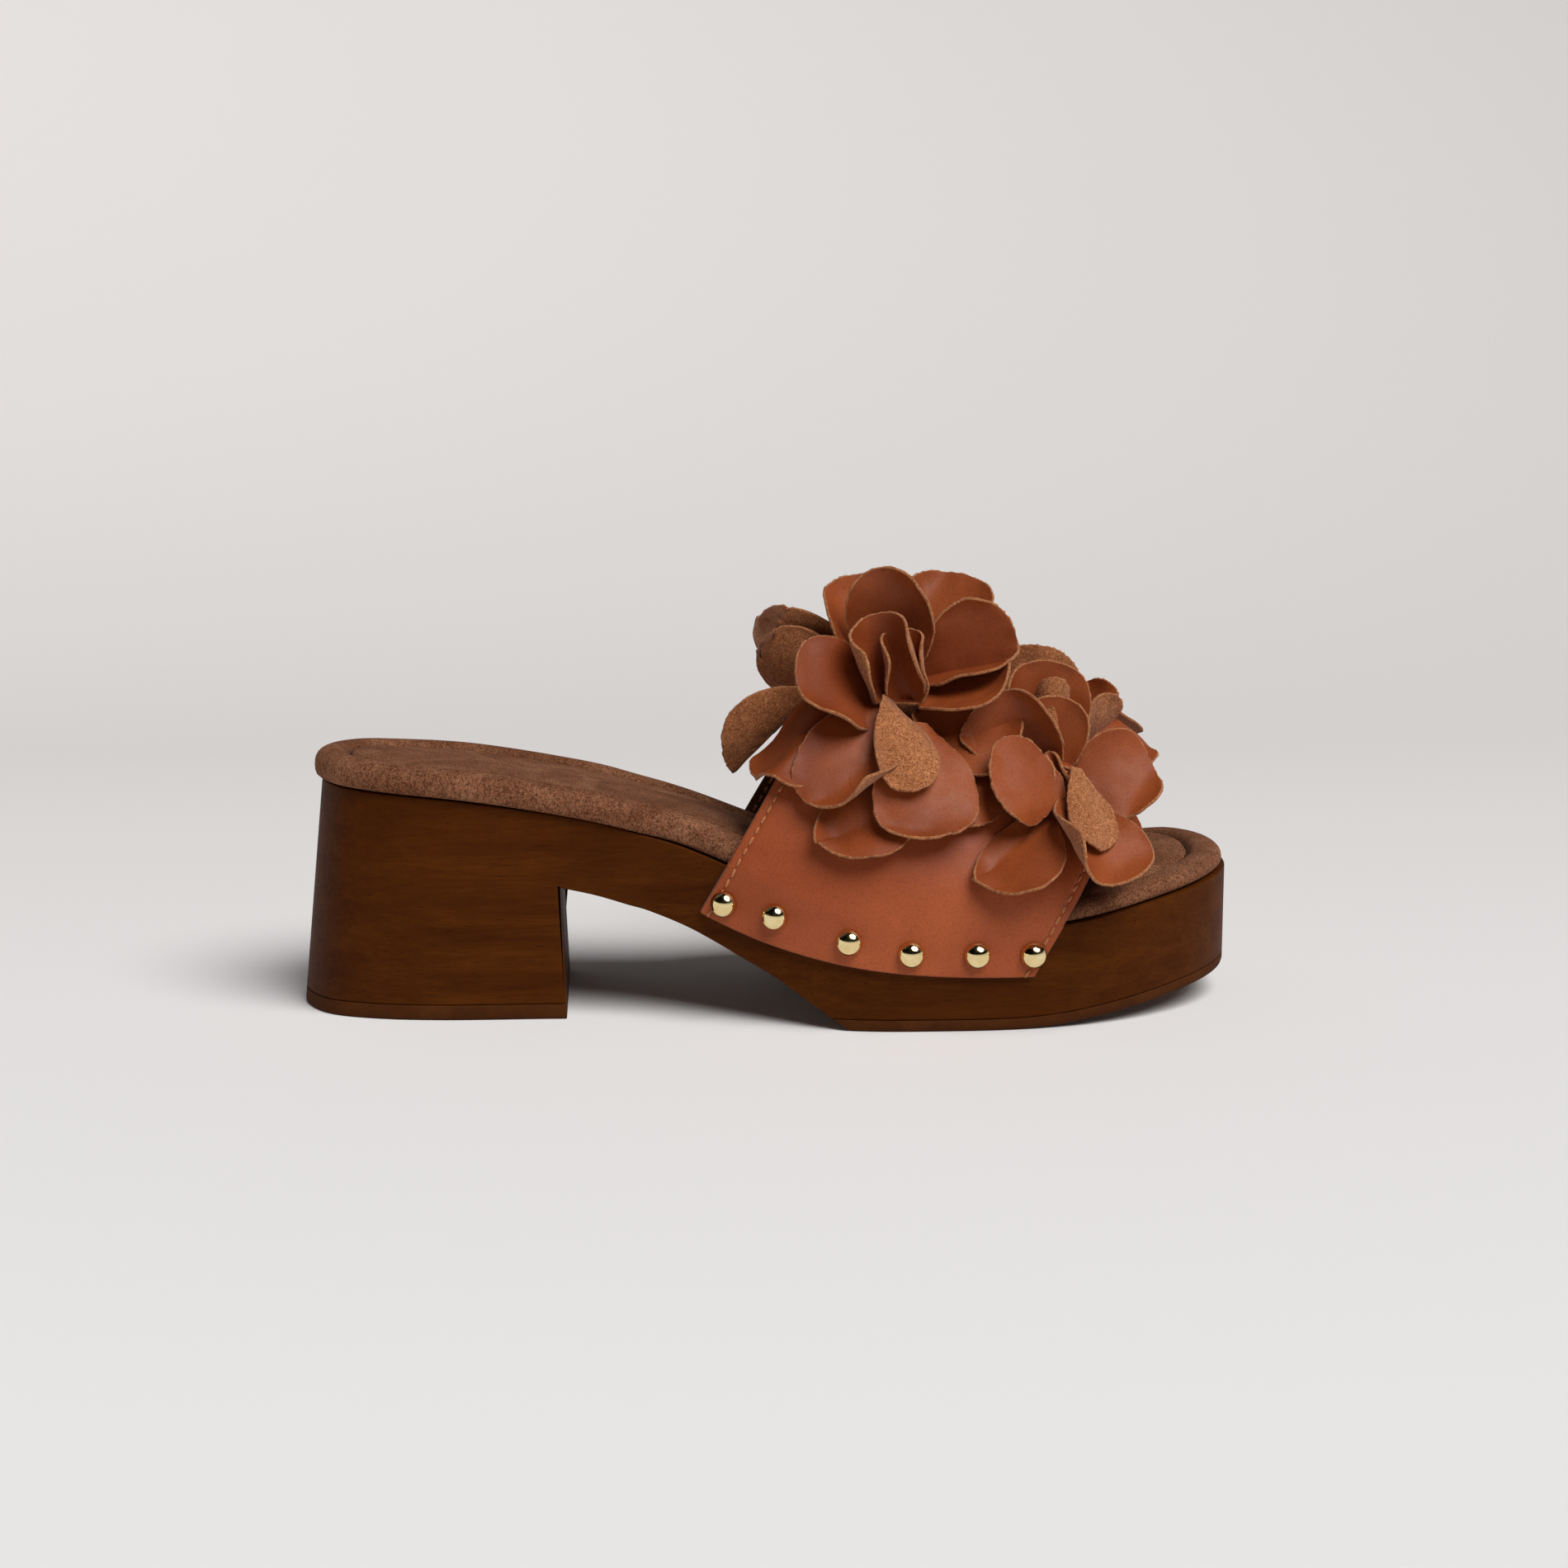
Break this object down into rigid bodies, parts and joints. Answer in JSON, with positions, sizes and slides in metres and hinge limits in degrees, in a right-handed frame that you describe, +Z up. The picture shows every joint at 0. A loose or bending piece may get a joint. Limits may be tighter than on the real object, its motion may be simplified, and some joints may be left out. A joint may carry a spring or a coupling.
{
  "type": "leather mule",
  "caption": "Women's slip-on mule with a carved wooden clog sole, padded suede footbed, studded leather vamp and leather flowers.",
  "frame": {"origin": "middle of the heel's tread, on the floor", "axes": "+X from the heel to the toe, +Y to the inner (big toe) side, +Z up"},
  "size_m": [0.249, 0.1201, 0.1155],
  "materials": {
    "wood": "stained reddish brown, satin lacquer",
    "sole_rubber": "matt brown rubber",
    "footbed_suede": "dark brown suede",
    "vamp_leather": "smooth rust-brown leather, satin",
    "petal_leather": "smooth rust-brown leather with a raw suede back",
    "stud_brass": "polished"
  },
  "bodies": {
    "root": {"clog_sole": "wood", "heel_top_piece": "sole_rubber", "forefoot_tread": "sole_rubber", "padded_footbed": "footbed_suede", "vamp": "vamp_leather", "flower_rear": "petal_leather", "flower_front_outer": "petal_leather", "flower_front_inner": "petal_leather", "stud_outer_1": "stud_brass", "stud_outer_2": "stud_brass", "stud_outer_3": "stud_brass", "stud_outer_4": "stud_brass", "stud_outer_5": "stud_brass", "stud_outer_6": "stud_brass", "stud_inner_1": "stud_brass", "stud_inner_2": "stud_brass", "stud_inner_3": "stud_brass", "stud_inner_4": "stud_brass", "stud_inner_5": "stud_brass", "stud_inner_6": "stud_brass"}
  },
  "joints": []
}
